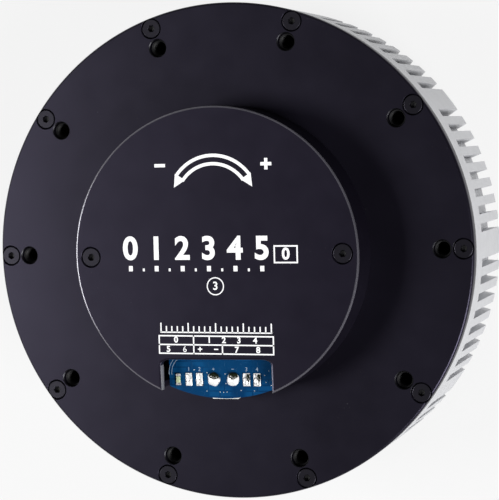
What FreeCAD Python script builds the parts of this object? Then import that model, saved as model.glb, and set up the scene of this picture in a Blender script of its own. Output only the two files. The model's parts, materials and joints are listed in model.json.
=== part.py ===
import FreeCAD
import Part
import math
import os

from FreeCAD import Vector

# Robot joint actuator: a flat outer-rotor motor, a single planetary stage nested in its stator
# and the motor driver under a cap on the rear plate. Millimetres.
# Origin: centre of the output face. +Z runs along the shaft to the rear cap.
# The connector window of the rear cap faces -Y.

# Driving dimensions
BODY_R = 61.0
OUTPUT_STAND = 5.0          # output face in front of the housing face
FIN_LENGTH = 24.0
PLAIN_RING = 7.5
PLATE_T = 3.0
CAP_R = 35.85
CAP_H = 11.1

# Levels along the shaft
Z_FRONT = OUTPUT_STAND
Z_FIN_END = Z_FRONT + FIN_LENGTH
Z_RING = Z_FIN_END + PLAIN_RING
Z_PLATE = Z_RING + PLATE_T
Z_CAP = Z_PLATE + CAP_H

# Cooling slots and the bolt circles of the rear face
SLOT_PITCH = 4.0            # degrees
BOLT_PITCH = 36.0           # degrees, no slot is cut behind a bolt
SLOT_W = 2.0
SLOT_FLOOR_R = 58.2
BOLTS = 10
COVER_SCREW_PCR = 58.46     # M2.5 countersunk
MOUNT_PCR = 53.33           # M4 tapped
MOUNT_HOLE_R = 2.0
MOUNT_HOLE_DEPTH = 13.0
EDGE = 0.7

# M2.5 screws of the rear plate and the cap
SCREW_HEAD_R = 2.25
SCREW_HEAD_H = 1.2
SCREW_SEAT_R = 2.55
SCREW_SUNK = 0.15

# Housing
CAVITY_R = 50.3
FRONT_WALL = 5.0
TUBE_R = 31.5
TUBE_FOOT_R = 35.0
TUBE_FOOT_H = 1.2           # above the output bearing
TUBE_BORE_R = 29.0
TUBE_END = 26.0

# Output bearing, 50 x 65 x 7
BEARING_R_IN = 25.0
BEARING_R_OUT = 32.5
BEARING_W = 7.0
Z_BEARING = 5.4

# Planetary stage, 7 to 1
MODULE = 0.7
PRESSURE = math.radians(25)
SUN_TEETH = 12
PLANET_TEETH = 30
RING_TEETH = 72
ADDENDUM = 0.8 * MODULE
DEDENDUM = 1.0 * MODULE
BACKLASH = 0.06
PLANETS = 3
PLANET_ARM = MODULE * (SUN_TEETH + PLANET_TEETH) / 2
Z_GEARS = 13.8
GEAR_W = 10.0
PIN_R = 3.0
RUN_GAP = 0.05              # radial running gap of a shaft in its bore

# Output carrier
OUTPUT_R = 27.0
PILOT_R = 9.0
PILOT_DEPTH = 3.0
OUTPUT_BOLTS = 6
OUTPUT_PCR = 21.0
OUTPUT_HOLE_DEPTH = 8.0
CARRIER_TOP = 13.2
POST_ARM = 19.0
POST_R = 4.5
CARRIER_PLATE_R = 23.6
SUN_PASSAGE_R = 5.4
RING_GEAR_GAP = 0.3         # between the ring gear and the carrier
RING_GEAR_SETBACK = 1.0     # behind the end of the tube
JOURNAL_R = 2.0
JOURNAL_L = 4.0
JOURNAL_GAP = 0.2
PIN_DEPTH = 4.0
Z_CARRIER_PLATE = 24.4
CARRIER_PLATE_T = 3.0

# Motor
SLOTS = 18
POLES = 20
STATOR_R = 43.1
STACK_Z = 16.5
STACK_H = 10.0
CORE_R = 36.0
TOOTH_HALF = 1.9
SHOE_T = 1.3
SHOE_SHARE = 0.86           # share of the slot pitch that a shoe covers
COIL_IN_R = 36.3
COIL_OUT_R = 41.2
COIL_IN_HALF = 5.6
COIL_OUT_HALF = 6.4
COIL_OVERHANG = 2.4
YOKE_IN_R = 46.1
YOKE_R = 48.3
MAGNET_W = 12.5
MAGNET_T = 2.0
MAGNET_OVERHANG = 1.0
YOKE_OVERHANG = 1.5
Z_WEB = 30.6
WEB_T = 2.5
HUB_R = 9.0
SHAFT_R = 4.0
Z_HUB = 28.2
ENCODER_MAGNET_R = 3.0
Z_ENCODER_MAGNET = Z_PLATE + 0.5
ENCODER_MAGNET_H = 2.5

# Rear bearing of the rotor, 8 x 16 x 5
REAR_BEARING_R = 8.0
REAR_BEARING_W = 5.0
Z_REAR_BEARING = Z_PLATE - REAR_BEARING_W
REAR_SHOULDER_R = 7.2
REAR_SHOULDER_T = 0.6
REAR_BOSS_R = 11.0

# Rear cap and circuit board
CAP_WALL = 1.9
CAP_TOP = 2.6
CAP_SCREW_PCR = 31.85
WINDOW_X = -0.65
WINDOW_HALF = 14.05
WINDOW_TOP_Y = -25.2
WINDOW_CORNER = 3.2
WINDOW_CORNER_DROP = 1.9
CAP_EDGE = 0.5
CAP_POST_R = 2.0
BOARD_R = 33.3
BOARD_EDGE_R = 35.2
BOARD_TAB_X = -0.75
BOARD_TAB_HALF = 13.4
BOARD_TAB_ROOT = -20.0
SIDE_NOTCH = 3.0            # width of the notch on each side of the tab
SIDE_NOTCH_END = -22.5
POST_NOTCH = 2.2            # half the side of the notch round a cap post
BOARD_T = 1.6
Z_BOARD = Z_PLATE + 6.5 - BOARD_T
BOARD_TOP = Z_BOARD + BOARD_T

# Terminals along the open edge of the board. Signal pads are (x, width)
TERMINAL_Y = -30.55
TERMINAL_LENGTH = 3.2
SIGNAL_PADS = ((-9.1, 1.7), (-6.35, 1.7), (5.7, 1.8), (8.4, 1.8))
PAD_H = 0.25
POWER_PINS = (-2.75, 2.2)
POWER_TERMINAL_R = 1.7
POWER_TERMINAL_H = 0.9
LED = (-11.8, 1.2, 2.8, 0.6)          # x, width, length, height

# Connectors under the board, given as (half width, front y, back y, end of the recess y)
POWER_SHELL = (3.5, -35.65, -26.0, -29.0)
SIGNAL_SHELL = (2.6, -33.0, -27.0, -28.2)
SHELL_WALL = 0.6
SHELL_STAND = 0.3

# Other parts of the board, in the directions named
TRANSISTORS = 6
TRANSISTOR = (17.0, 5.5, 6.0, 1.0)    # inner radius, depth, width, height
CONTROLLER = (10.0, 1.4)              # side, height
CAPACITOR_X = (-17.0, -10.5, 10.5, 17.0)
CAPACITOR_Y = -14.0
CAPACITOR = (5.8, 3.8)                # side, height
ENCODER_CHIP = (5.0, 4.0, 1.0)        # x, y, height


def cylinder(r, z0, z1, x=0.0, y=0.0):
    return Part.makeCylinder(r, z1 - z0, Vector(x, y, z0))


def ring(r_out, r_in, z0, z1):
    return cylinder(r_out, z0, z1).cut(cylinder(r_in, z0, z1))


def box(x0, x1, y0, y1, z0, z1):
    return Part.makeBox(x1 - x0, y1 - y0, z1 - z0, Vector(x0, y0, z0))


def extrude(edges, z0, z1):
    face = Part.Face(Part.Wire(edges))
    face.translate(Vector(0, 0, z0))
    return face.extrude(Vector(0, 0, z1 - z0))


def prism(points, z0, z1):
    corners = [Vector(x, y, 0) for x, y in points]
    return extrude(Part.makePolygon(corners + corners[:1]).Edges, z0, z1)


def revolve(points):
    """Solid of revolution about Z of an outline given as (radius, height)."""
    corners = [Vector(r, 0, z) for r, z in points]
    outline = Part.Wire(Part.makePolygon(corners + corners[:1]).Edges)
    return Part.Face(outline).revolve(Vector(0, 0, 0), Vector(0, 0, 1), 360)


def polar(r, degrees):
    a = math.radians(degrees)
    return Vector(r * math.cos(a), r * math.sin(a), 0)


def turned(shape, degrees):
    copy = shape.copy()
    copy.rotate(Vector(0, 0, 0), Vector(0, 0, 1), degrees)
    return copy


def around(shape, count, start=0.0):
    """Copies of a shape evenly spaced about Z."""
    return [turned(shape, start + 360.0 * k / count) for k in range(count)]


def group(shapes):
    return Part.makeCompound(shapes)


def save(name, shape):
    shape.exportStep("parts/" + name + ".step")


def tooth_half_angle(r, teeth, extra):
    """Half the angle of an involute tooth at radius r, in radians."""
    pitch_r = MODULE * teeth / 2
    base_r = pitch_r * math.cos(PRESSURE)
    at_r = math.acos(min(1.0, base_r / r))
    at_pitch = math.pi / (2 * teeth) + extra / (2 * pitch_r)
    return at_pitch + math.tan(PRESSURE) - PRESSURE - math.tan(at_r) + at_r


def toothed(teeth, root_r, tip_r, extra, z0, z1):
    """Solid with teeth, one of them on +X. Each flank joins the two ends of its involute.

    extra widens each tooth along the pitch circle, and a negative value thins it.
    """
    base_r = MODULE * teeth / 2 * math.cos(PRESSURE)
    start_r = max(root_r, base_r)
    foot = tooth_half_angle(start_r, teeth, extra)
    tip = tooth_half_angle(tip_r, teeth, extra)
    outline = []
    for k in range(teeth):
        c = 2 * math.pi * k / teeth
        corners = [(root_r, c - foot), (start_r, c - foot), (tip_r, c - tip)]
        corners += [(tip_r, c + tip), (start_r, c + foot), (root_r, c + foot)]
        if start_r == root_r:
            corners = corners[1:-1]
        outline += [(r * math.cos(a), r * math.sin(a)) for r, a in corners]
    return prism(outline, z0, z1)


def screw_head(x, y, z_top):
    """Head of a sunk M2.5 screw with its top at z_top."""
    return cylinder(SCREW_HEAD_R, z_top - SCREW_HEAD_H, z_top, x, y)


def screw_seat(x, y, z_top):
    """Recess for a screw head in a surface at z_top."""
    return cylinder(SCREW_SEAT_R, z_top - SCREW_SUNK - SCREW_HEAD_H, z_top, x, y)


def make_housing():
    wall = Z_FRONT + FRONT_WALL
    seat_top = Z_BEARING + BEARING_W
    foot_top = seat_top + TUBE_FOOT_H
    body = revolve([
        (BEARING_R_OUT, Z_FRONT), (BODY_R, Z_FRONT), (BODY_R, Z_RING), (CAVITY_R, Z_RING),
        (CAVITY_R, wall), (TUBE_FOOT_R, wall), (TUBE_FOOT_R, foot_top), (TUBE_R, foot_top),
        (TUBE_R, TUBE_END), (TUBE_BORE_R, TUBE_END), (TUBE_BORE_R, seat_top), (BEARING_R_OUT, seat_top),
    ])
    slot = box(SLOT_FLOOR_R, BODY_R + 1, -SLOT_W / 2, SLOT_W / 2, Z_FRONT - 1, Z_FIN_END)
    angles = [k * SLOT_PITCH for k in range(round(360 / SLOT_PITCH))]
    cuts = [turned(slot, a) for a in angles if a % BOLT_PITCH]
    mount_end = Z_PLATE - MOUNT_HOLE_DEPTH
    cuts += around(cylinder(MOUNT_HOLE_R, mount_end, Z_RING + 1, MOUNT_PCR), BOLTS)
    return body.cut(cuts)


def make_rear_plate():
    lip = Z_REAR_BEARING - REAR_SHOULDER_T
    plate = revolve([
        (REAR_BEARING_R, Z_PLATE), (REAR_BEARING_R, Z_REAR_BEARING),
        (REAR_SHOULDER_R, Z_REAR_BEARING), (REAR_SHOULDER_R, lip), (REAR_BOSS_R, lip),
        (REAR_BOSS_R, Z_RING), (BODY_R, Z_RING), (BODY_R, Z_PLATE - EDGE), (BODY_R - EDGE, Z_PLATE),
    ])
    for a in (0, 180):
        p = polar(CAP_SCREW_PCR, a)
        plate = plate.fuse(cylinder(CAP_POST_R, Z_PLATE, Z_CAP - CAP_TOP, p.x, p.y))
    cuts = around(screw_seat(COVER_SCREW_PCR, 0, Z_PLATE), BOLTS)
    cuts += around(cylinder(MOUNT_HOLE_R, Z_RING - 1, Z_PLATE + 1, MOUNT_PCR), BOLTS)
    return plate.cut(cuts)


def make_cover_screws():
    return group(around(screw_head(COVER_SCREW_PCR, 0, Z_PLATE - SCREW_SUNK), BOLTS))


def make_driver_cap():
    inner = CAP_R - CAP_WALL
    under = Z_CAP - CAP_TOP
    cap = revolve([
        (0, under), (inner, under), (inner, Z_PLATE), (CAP_R, Z_PLATE),
        (CAP_R, Z_CAP - CAP_EDGE), (CAP_R - CAP_EDGE, Z_CAP), (0, Z_CAP),
    ])
    left = WINDOW_X - WINDOW_HALF
    right = WINDOW_X + WINDOW_HALF
    low = WINDOW_TOP_Y - WINDOW_CORNER_DROP
    window = prism([
        (left, -CAP_R - 1), (right, -CAP_R - 1), (right, low), (right - WINDOW_CORNER, WINDOW_TOP_Y),
        (left + WINDOW_CORNER, WINDOW_TOP_Y), (left, low),
    ], Z_PLATE, Z_CAP)
    cuts = [window]
    for a in (0, 180):
        p = polar(CAP_SCREW_PCR, a)
        cuts.append(screw_seat(p.x, p.y, Z_CAP))
    return cap.cut(cuts)


def make_cap_screws():
    points = [polar(CAP_SCREW_PCR, a) for a in (0, 180)]
    return group([screw_head(p.x, p.y, Z_CAP - SCREW_SUNK) for p in points])


def make_circuit_board():
    disc = cylinder(BOARD_R, Z_BOARD, BOARD_TOP)
    left = BOARD_TAB_X - BOARD_TAB_HALF
    right = BOARD_TAB_X + BOARD_TAB_HALF
    tab = box(left, right, -BOARD_EDGE_R, BOARD_TAB_ROOT, Z_BOARD, BOARD_TOP)
    board = disc.fuse(tab.common(cylinder(BOARD_EDGE_R, Z_BOARD, BOARD_TOP)))
    cuts = [box(x, x + SIDE_NOTCH, -BOARD_EDGE_R, SIDE_NOTCH_END, Z_BOARD, BOARD_TOP)
            for x in (left - SIDE_NOTCH, right)]
    for a in (0, 180):
        x = polar(CAP_SCREW_PCR, a).x
        cuts.append(box(x - POST_NOTCH, x + POST_NOTCH, -POST_NOTCH, POST_NOTCH, Z_BOARD, BOARD_TOP))
    return board.cut(cuts).removeSplitter()


def make_signal_pads():
    pads = []
    low = TERMINAL_Y - TERMINAL_LENGTH / 2
    high = TERMINAL_Y + TERMINAL_LENGTH / 2
    for x, w in SIGNAL_PADS:
        pads.append(box(x - w / 2, x + w / 2, low, high, BOARD_TOP, BOARD_TOP + PAD_H))
    return group(pads)


def make_power_terminals():
    top = BOARD_TOP + POWER_TERMINAL_H
    return group([cylinder(POWER_TERMINAL_R, BOARD_TOP, top, x, TERMINAL_Y) for x in POWER_PINS])


def make_status_led():
    x, w, l, h = LED
    return box(x - w / 2, x + w / 2, TERMINAL_Y - l / 2, TERMINAL_Y + l / 2, BOARD_TOP, BOARD_TOP + h)


def connector(x, sizes):
    """Connector shell under the board, open at the front and closed behind."""
    half, front, back, end = sizes
    low = Z_PLATE + SHELL_STAND
    inside = half - SHELL_WALL
    shell = box(x - half, x + half, front, back, low, Z_BOARD)
    return shell.cut(box(x - inside, x + inside, front, end, low + SHELL_WALL, Z_BOARD - SHELL_WALL))


def make_power_connector():
    return connector(sum(POWER_PINS) / 2, POWER_SHELL)


def make_signal_connectors():
    pairs = (SIGNAL_PADS[:2], SIGNAL_PADS[2:])
    return group([connector((first[0] + last[0]) / 2, SIGNAL_SHELL) for first, last in pairs])


def make_transistors():
    """Power transistors of the three-phase bridge."""
    arm, depth, width, h = TRANSISTOR
    one = box(arm, arm + depth, -width / 2, width / 2, BOARD_TOP, BOARD_TOP + h)
    return group(around(one, TRANSISTORS, 30))


def make_controller_chip():
    side, h = CONTROLLER
    return turned(box(-side / 2, side / 2, -side / 2, side / 2, BOARD_TOP, BOARD_TOP + h), 45)


def make_capacitors():
    side, h = CAPACITOR
    low = CAPACITOR_Y - side / 2
    cans = [box(x - side / 2, x + side / 2, low, low + side, Z_BOARD - h, Z_BOARD) for x in CAPACITOR_X]
    return group(cans)


def make_encoder_chip():
    x, y, h = ENCODER_CHIP
    return box(-x / 2, x / 2, -y / 2, y / 2, Z_BOARD - h, Z_BOARD)


def make_stator_core():
    top = STACK_Z + STACK_H
    core = ring(CORE_R, TUBE_R, STACK_Z, top)
    span = 360.0 / SLOTS * SHOE_SHARE / 2
    shoe_in = STATOR_R - SHOE_T
    tooth = box(CORE_R - 1, shoe_in + SHOE_T / 4, -TOOTH_HALF, TOOTH_HALF, STACK_Z, top)
    shoe = [polar(shoe_in, -span), polar(STATOR_R, -span), polar(STATOR_R, 0),
            polar(STATOR_R, span), polar(shoe_in, span), polar(shoe_in, 0)]
    edges = [
        Part.LineSegment(shoe[0], shoe[1]).toShape(),
        Part.Arc(shoe[1], shoe[2], shoe[3]).toShape(),
        Part.LineSegment(shoe[3], shoe[4]).toShape(),
        Part.LineSegment(shoe[4], shoe[0]).toShape(),
    ]
    pole = tooth.fuse(extrude(edges, STACK_Z, top))
    return core.fuse(around(pole, SLOTS)).removeSplitter()


def make_stator_coils():
    """One coil wound round each tooth, its end turns standing above and below the stack."""
    low = STACK_Z - COIL_OVERHANG
    high = STACK_Z + STACK_H + COIL_OVERHANG
    coil = prism([
        (COIL_IN_R, -COIL_IN_HALF), (COIL_OUT_R, -COIL_OUT_HALF),
        (COIL_OUT_R, COIL_OUT_HALF), (COIL_IN_R, COIL_IN_HALF),
    ], low, high)
    gap = box(CORE_R, STATOR_R, -TOOTH_HALF, TOOTH_HALF, STACK_Z, STACK_Z + STACK_H)
    return group(around(coil.cut(gap), SLOTS))


def make_rotor_cup():
    top = Z_WEB + WEB_T
    low = STACK_Z - YOKE_OVERHANG
    return revolve([
        (SHAFT_R, Z_HUB), (HUB_R, Z_HUB), (HUB_R, Z_WEB), (YOKE_IN_R, Z_WEB), (YOKE_IN_R, low),
        (YOKE_R, low), (YOKE_R, top), (SHAFT_R, top),
    ])


def make_rotor_magnets():
    half = MAGNET_W / 2
    back = math.sqrt(YOKE_IN_R ** 2 - half ** 2)
    low = STACK_Z - MAGNET_OVERHANG
    high = STACK_Z + STACK_H + MAGNET_OVERHANG
    magnet = box(back - MAGNET_T, back, -half, half, low, high)
    return group(around(magnet, POLES))


def make_sun_shaft():
    """Sun gear in one piece with the rotor shaft, with a thin journal in front."""
    gear_top = Z_GEARS + GEAR_W
    root = MODULE * SUN_TEETH / 2 - DEDENDUM
    tip = MODULE * SUN_TEETH / 2 + ADDENDUM
    gear = toothed(SUN_TEETH, root, tip, -BACKLASH / 2, Z_GEARS, gear_top)
    journal_end = CARRIER_TOP - JOURNAL_L + JOURNAL_GAP
    stem = revolve([
        (0, journal_end), (JOURNAL_R, journal_end), (JOURNAL_R, Z_GEARS), (root, Z_GEARS),
        (root, gear_top), (SHAFT_R, gear_top), (SHAFT_R, Z_ENCODER_MAGNET), (0, Z_ENCODER_MAGNET),
    ])
    return turned(gear, 90).fuse(stem)


def make_encoder_magnet():
    return cylinder(ENCODER_MAGNET_R, Z_ENCODER_MAGNET, Z_ENCODER_MAGNET + ENCODER_MAGNET_H)


def make_planet(k):
    pitch_r = MODULE * PLANET_TEETH / 2
    gear = toothed(PLANET_TEETH, pitch_r - DEDENDUM, pitch_r + ADDENDUM, -BACKLASH / 2,
                   Z_GEARS, Z_GEARS + GEAR_W)
    gear = turned(gear, 180.0 / PLANET_TEETH)
    gear = gear.cut(cylinder(PIN_R + RUN_GAP, Z_GEARS, Z_GEARS + GEAR_W))
    gear.translate(Vector(PLANET_ARM, 0, 0))
    return turned(gear, planet_angle(k))


def planet_angle(k):
    return 90.0 + 360.0 / PLANETS * k


def make_ring_gear():
    pitch_r = MODULE * RING_TEETH / 2
    low = CARRIER_TOP + RING_GEAR_GAP
    high = TUBE_END - RING_GEAR_SETBACK
    spaces = toothed(RING_TEETH, pitch_r - ADDENDUM, pitch_r + DEDENDUM, BACKLASH / 2, low, high)
    return cylinder(TUBE_BORE_R, low, high).cut(turned(spaces, 180.0 / RING_TEETH))


def make_output_carrier():
    """Output flange in one piece with the front half of the planet carrier."""
    journal = CARRIER_TOP - JOURNAL_L
    body = revolve([
        (0, PILOT_DEPTH), (PILOT_R, PILOT_DEPTH), (PILOT_R, 0), (OUTPUT_R, 0), (OUTPUT_R, Z_BEARING),
        (BEARING_R_IN, Z_BEARING), (BEARING_R_IN, CARRIER_TOP), (JOURNAL_R + RUN_GAP, CARRIER_TOP),
        (JOURNAL_R + RUN_GAP, journal), (0, journal),
    ])
    body = body.fuse(around(cylinder(POST_R, CARRIER_TOP, Z_CARRIER_PLATE, POST_ARM), PLANETS, 30))
    cuts = around(cylinder(MOUNT_HOLE_R, 0, OUTPUT_HOLE_DEPTH, OUTPUT_PCR), OUTPUT_BOLTS, 30)
    cuts += around(cylinder(PIN_R, CARRIER_TOP - PIN_DEPTH, CARRIER_TOP, PLANET_ARM), PLANETS, 90)
    return body.cut(cuts)


def make_carrier_plate():
    top = Z_CARRIER_PLATE + CARRIER_PLATE_T
    plate = ring(CARRIER_PLATE_R, SUN_PASSAGE_R, Z_CARRIER_PLATE, top)
    return plate.cut(around(cylinder(PIN_R, Z_CARRIER_PLATE, top, PLANET_ARM), PLANETS, 90))


def make_planet_pins():
    pin = cylinder(PIN_R, CARRIER_TOP - PIN_DEPTH, Z_CARRIER_PLATE + CARRIER_PLATE_T, PLANET_ARM)
    return group(around(pin, PLANETS, 90))


def make_output_bearing():
    return ring(BEARING_R_OUT, BEARING_R_IN + RUN_GAP, Z_BEARING, Z_BEARING + BEARING_W)


def make_rotor_bearing():
    return ring(REAR_BEARING_R, SHAFT_R + RUN_GAP, Z_REAR_BEARING, Z_PLATE)


os.makedirs("parts", exist_ok=True)

save("housing", make_housing())
save("rear_plate", make_rear_plate())
save("cover_screws", make_cover_screws())
save("driver_cap", make_driver_cap())
save("cap_screws", make_cap_screws())
save("circuit_board", make_circuit_board())
save("signal_pads", make_signal_pads())
save("power_terminals", make_power_terminals())
save("status_led", make_status_led())
save("power_connector", make_power_connector())
save("signal_connectors", make_signal_connectors())
save("transistors", make_transistors())
save("controller_chip", make_controller_chip())
save("capacitors", make_capacitors())
save("encoder_chip", make_encoder_chip())
save("stator_core", make_stator_core())
save("stator_coils", make_stator_coils())
save("ring_gear", make_ring_gear())
save("output_bearing", make_output_bearing())
save("rotor_bearing", make_rotor_bearing())
save("rotor_cup", make_rotor_cup())
save("rotor_magnets", make_rotor_magnets())
save("sun_shaft", make_sun_shaft())
save("encoder_magnet", make_encoder_magnet())
save("output_carrier", make_output_carrier())
save("carrier_plate", make_carrier_plate())
save("planet_pins", make_planet_pins())
for k in range(PLANETS):
    save("planet_gear_" + str(k + 1), make_planet(k))
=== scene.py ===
import json
import math
import random

import bmesh
import bpy
from mathutils import Matrix, Vector


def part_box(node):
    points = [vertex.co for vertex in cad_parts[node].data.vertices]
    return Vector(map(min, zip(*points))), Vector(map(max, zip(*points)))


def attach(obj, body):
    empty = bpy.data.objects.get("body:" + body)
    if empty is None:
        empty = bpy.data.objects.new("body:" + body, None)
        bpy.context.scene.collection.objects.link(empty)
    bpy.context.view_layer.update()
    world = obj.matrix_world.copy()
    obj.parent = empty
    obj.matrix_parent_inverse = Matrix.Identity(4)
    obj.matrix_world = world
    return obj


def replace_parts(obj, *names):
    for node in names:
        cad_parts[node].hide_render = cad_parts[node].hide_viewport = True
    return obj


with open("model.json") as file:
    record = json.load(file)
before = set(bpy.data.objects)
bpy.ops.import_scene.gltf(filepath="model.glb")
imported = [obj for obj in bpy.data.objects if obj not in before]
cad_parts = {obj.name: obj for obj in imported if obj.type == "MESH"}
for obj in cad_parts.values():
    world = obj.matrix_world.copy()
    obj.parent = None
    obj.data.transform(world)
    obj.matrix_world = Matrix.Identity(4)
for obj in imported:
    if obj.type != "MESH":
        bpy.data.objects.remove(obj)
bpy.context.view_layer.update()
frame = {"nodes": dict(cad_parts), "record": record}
random.seed(7)

MM = 0.001


def span(node):
    """Lowest and highest corner of a node, in millimetres."""
    low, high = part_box(node)
    return [c / MM for c in low], [c / MM for c in high]


def on_circle(r, degrees):
    a = math.radians(degrees)
    return r * math.cos(a), r * math.sin(a)


# ---------------------------------------------------------------- sizes read from the frame, in millimetres
mounts = {m["name"]: m for m in frame["record"]["mounts"]}
MOUNT_R = mounts["rear_bolts"]["dims"]["pcd_mm"] / 2
MOUNT_HOLE_R = mounts["rear_bolts"]["dims"]["hole_r_mm"]
BOLTS = mounts["rear_bolts"]["dims"]["count"]
OUTPUT_BOLT_R = mounts["output_bolts"]["dims"]["pcd_mm"] / 2
OUTPUT_BOLTS = mounts["output_bolts"]["dims"]["count"]

BODY_R = span("rear_plate")[1][0]
Z_RING = span("housing")[1][2]
Z_PLATE = mounts["rear_bolts"]["pos_m"][2] / MM
CAP_R = span("driver_cap")[1][0]
Z_CAP = span("driver_cap")[1][2]
Z_BOARD = span("circuit_board")[1][2]

SCREW_HEAD_R = 2.25
SCREW_TOP = span("cover_screws")[1][2]
SCREW_ARM = span("cover_screws")[1][0] - SCREW_HEAD_R
CAP_SCREW_TOP = span("cap_screws")[1][2]
CAP_SCREW_ARM = span("cap_screws")[1][0] - SCREW_HEAD_R

# Centres of the holes and screws
OUTPUT_TURN = 30      # degrees from the X axis to the first hole in the output
MOUNT_HOLES = [on_circle(MOUNT_R, 360 * k / BOLTS) for k in range(BOLTS)]
OUTPUT_HOLES = [on_circle(OUTPUT_BOLT_R, OUTPUT_TURN + 360 * k / OUTPUT_BOLTS) for k in range(OUTPUT_BOLTS)]
PLATE_SCREWS = [on_circle(SCREW_ARM, 360 * k / BOLTS) for k in range(BOLTS)]
CAP_SCREWS = [(side * CAP_SCREW_ARM, 0) for side in (-1, 1)]

TERMINALS_LOW, TERMINALS_HIGH = span("power_terminals")
TERMINAL_R = (TERMINALS_HIGH[1] - TERMINALS_LOW[1]) / 2
TERMINAL_Y = (TERMINALS_HIGH[1] + TERMINALS_LOW[1]) / 2
TERMINAL_X = (TERMINALS_LOW[0] + TERMINAL_R, TERMINALS_HIGH[0] - TERMINAL_R)

POWER_LOW, POWER_HIGH = span("power_connector")
SIGNAL_LOW, SIGNAL_HIGH = span("signal_connectors")
POWER_INSET = (0.3, 0.1)      # right side and front of the power connector's shell, inside its solid
SIGNAL_WIDTH = 5.2
# Each shell as its left, right, front, back, bottom and top
POWER_SHELL = (POWER_LOW[0], POWER_HIGH[0] - POWER_INSET[0], POWER_LOW[1] + POWER_INSET[1], POWER_HIGH[1],
               POWER_LOW[2], POWER_HIGH[2])
SIGNAL_SHELLS = [(left, left + SIGNAL_WIDTH, SIGNAL_LOW[1], SIGNAL_HIGH[1], SIGNAL_LOW[2], SIGNAL_HIGH[2])
                 for left in (SIGNAL_LOW[0], SIGNAL_HIGH[0] - SIGNAL_WIDTH)]

# ---------------------------------------------------------------- sizes of the finish, in millimetres
WELD = 1e-4           # points nearer than this become one
PLATE_EDGE = 0.45
EDGE_SHAPE = ((0, 1.15), (0.12, 0.8), (0.8, 0.12), (1.15, 0))               # shares of the edge: in, down
HUB = ((8.0, 0.0), (8.0, -5.0), (7.2, -5.0), (7.2, -5.6), (11.0, -5.6))    # radius, height from the plate
CAP_POST_R = 2.0
CAP_POST_SINK = 0.2

# Turned shapes in the plate and the cap, as radius and depth under the face that they are in
HOLE_R = MOUNT_HOLE_R + 0.12      # the thread's lining goes inside
HOLE = ((HOLE_R, 4.0), (HOLE_R, 0.2), (HOLE_R + 0.4, -0.2))
SEAT = ((1.35, 2.3), (1.35, 1.7), (2.55, 0.5), (2.55, 0.08), (2.75, -0.12))
HEAD = ((1.25, 1.8), (1.25, 1.5), (SCREW_HEAD_R - 0.1, 0.35), (SCREW_HEAD_R, 0.25), (SCREW_HEAD_R, 0.1),
        (SCREW_HEAD_R - 0.03, 0.04), (SCREW_HEAD_R - 0.12, 0.0))
SOCKET_R = 0.87
SOCKET = ((SOCKET_R, 1.0), (SOCKET_R, 0.1), (SOCKET_R + 0.2, -0.1))
SOCKET_FLOOR = ((0.2, 0.99), (SOCKET_R - 0.15, 0.96))

THREAD_PITCH = 0.7
THREAD_LEAD = 0.2     # from the mouth to the first turn
THREAD_RISE = 0.4     # share of the pitch from a root to its crest
DRILL_TIP = (0.05, 0.3)      # radius and depth of the point behind the last turn
THREAD_ROOT_R = MOUNT_HOLE_R - 0.04
THREAD_CREST_R = MOUNT_HOLE_R - 0.3
REAR_THREAD = (Z_PLATE - 1.2, Z_PLATE - 12)      # heights of its mouth and its end
OUTPUT_THREAD = (0.5, 7.5)

CAP_EDGE = 0.45
CAP_TOP = 2.6         # thickness of the lid
CAP_WALL = 1.9
CAP_LAP = 0.4         # how far the wall runs into the lid
CAP_STEPS = 240
WINDOW_LEFT, WINDOW_RIGHT, WINDOW_TOP = -14.7, 13.4, -25.2
CORNER_WIDTH, CORNER_DROP = 3.2, 1.9
CORNER_STEPS = 6

PRINT = 0.02          # thickness of the print that shows
PRINT_TURN = -0.65    # degrees
HEAD_DROP = 0.004     # keeps the arrow heads off the arcs that they overlap
FIGURE_SHARE = 0.73   # height of a figure as a share of its font's size
MINUS = "\u2212"

# Drop of tin on a pad: its shift from the centre, its reach as shares of the width and length, its height
TINNED = (0.0, 0.0, 0.42, 0.44, 0.16)
SOLDERED = (-0.12, -0.35, 0.36, 0.36, 0.5)
# Centre, width and drop of each pad
SIGNAL_PADS = ((-9.1, 1.7, TINNED), (-6.35, 1.7, TINNED), (5.7, 1.8, SOLDERED), (8.4, 1.8, SOLDERED))
PAD_X = [x for x, width, fill in SIGNAL_PADS]
BOARD_FIGURES = (("1", PAD_X[0]), ("2", PAD_X[1]), ("+", -2.75), (MINUS, 2.2), ("3", PAD_X[2]),
                 ("4", PAD_X[3]))
VIAS = ((10.3, -29.5), (10.6, -31.2), (11.4, -28.4), (4.2, -33.2), (7.6, -33.3), (-4.6, -33.4),
        (-7.7, -28.2), (-4.4, -28.9), (0.2, -29.2), (0.4, -31.5), (-1.2, -33.6), (-0.3, -33.7),
        (0.6, -33.6), (11.9, -31.9))
VIA_R = (0.05, 0.12)      # inside and outside

SHELL_WALL = 0.6
SHELL_BACK = 2.0      # thickness of a connector's back wall
PIN_R = 0.4
PIN_MOUTH = 1.2       # how far the pins' tips lie behind the mouth

BEARING_BORE_R = 25.05
BEARING_RING = 1.9
BEARING_EDGE = 0.3
SEAL_LAP = 0.05

# ---------------------------------------------------------------- camera, lamps and floor
# The camera was fitted to the photo: millimetres from the middle of the plate's face, its axes and lens
CAMERA_AT = (141.3, 27.3, 423.5)
CAMERA_RIGHT = (0.9523, -0.0351, -0.3032)
CAMERA_UP = (0.0151, 0.9976, -0.0680)
CAMERA_BACK = (0.3048, 0.0602, 0.9505)
LENS = 131.4

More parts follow.
